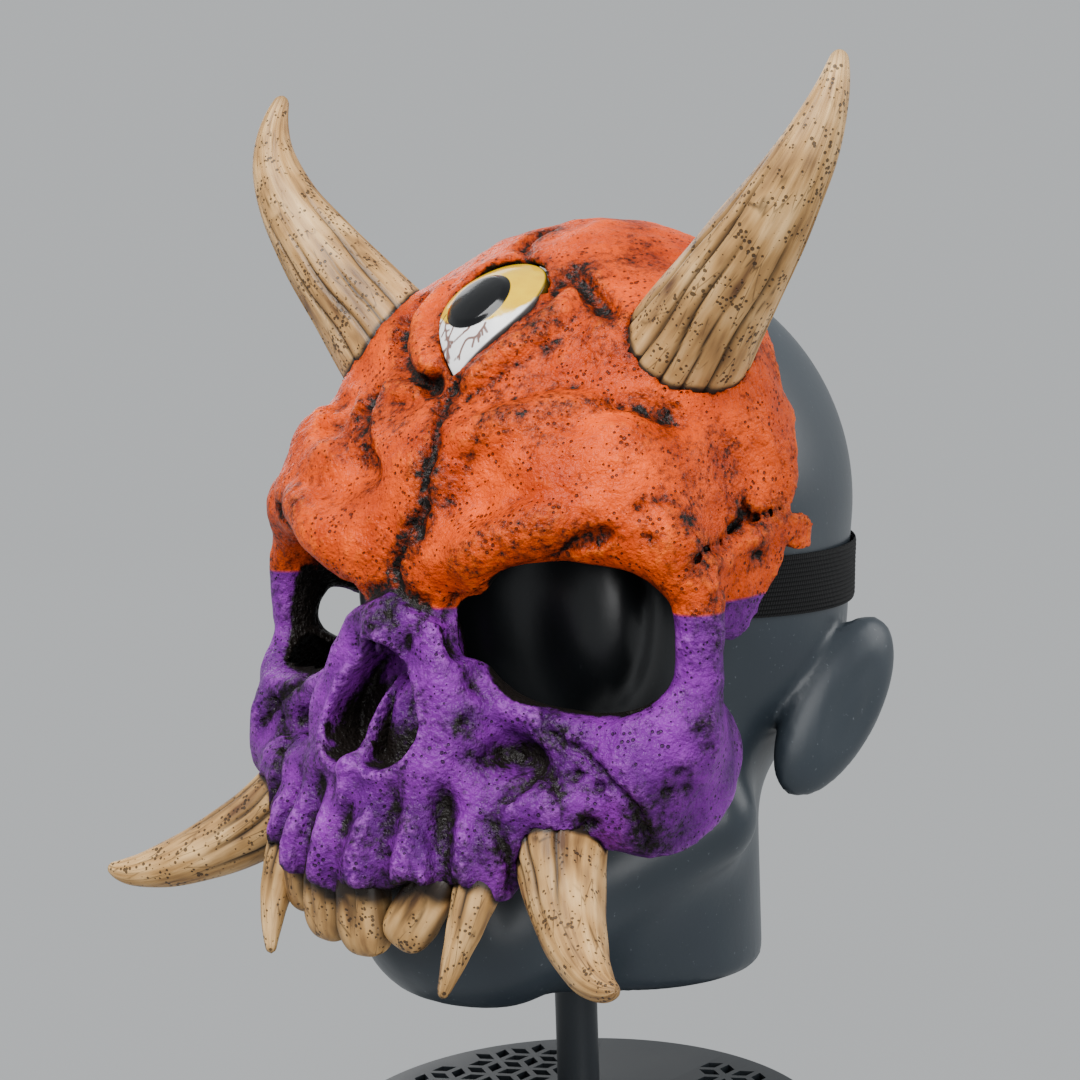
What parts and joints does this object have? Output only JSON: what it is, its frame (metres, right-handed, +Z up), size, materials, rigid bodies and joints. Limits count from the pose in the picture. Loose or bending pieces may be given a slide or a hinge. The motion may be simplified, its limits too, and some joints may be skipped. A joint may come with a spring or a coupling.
{
  "type": "horned skull mask on display head",
  "caption": "Horned demon skull mask with a third eye and tusks, strapped to a plain display head on a post with a round foot.",
  "frame": {"origin": "centre of the foot's underside, on the axis of the post", "axes": "+Z up the post, the face looks along -Y, +X to the mask's own left"},
  "size_m": [0.2532, 0.2424, 0.3719],
  "materials": {
    "shell_paint": "cast resin, painted orange above the eyes and purple below, dark wash in the cracks",
    "eye_enamel": "gloss enamel, white with a yellow ring and a black pupil",
    "horn_paint": "cast resin, painted bone tan with brown wash",
    "elastic": "woven black elastic",
    "head_plastic": "satin blue-grey plastic",
    "stand_plastic": "satin blue-grey plastic"
  },
  "bodies": {
    "root": {"mask_shell": "shell_paint", "third_eye": "eye_enamel", "horn_left": "horn_paint", "horn_right": "horn_paint", "tusk_left": "horn_paint", "tusk_right": "horn_paint", "elastic_strap": "elastic", "display_head": "head_plastic", "display_stand": "stand_plastic"}
  },
  "joints": []
}
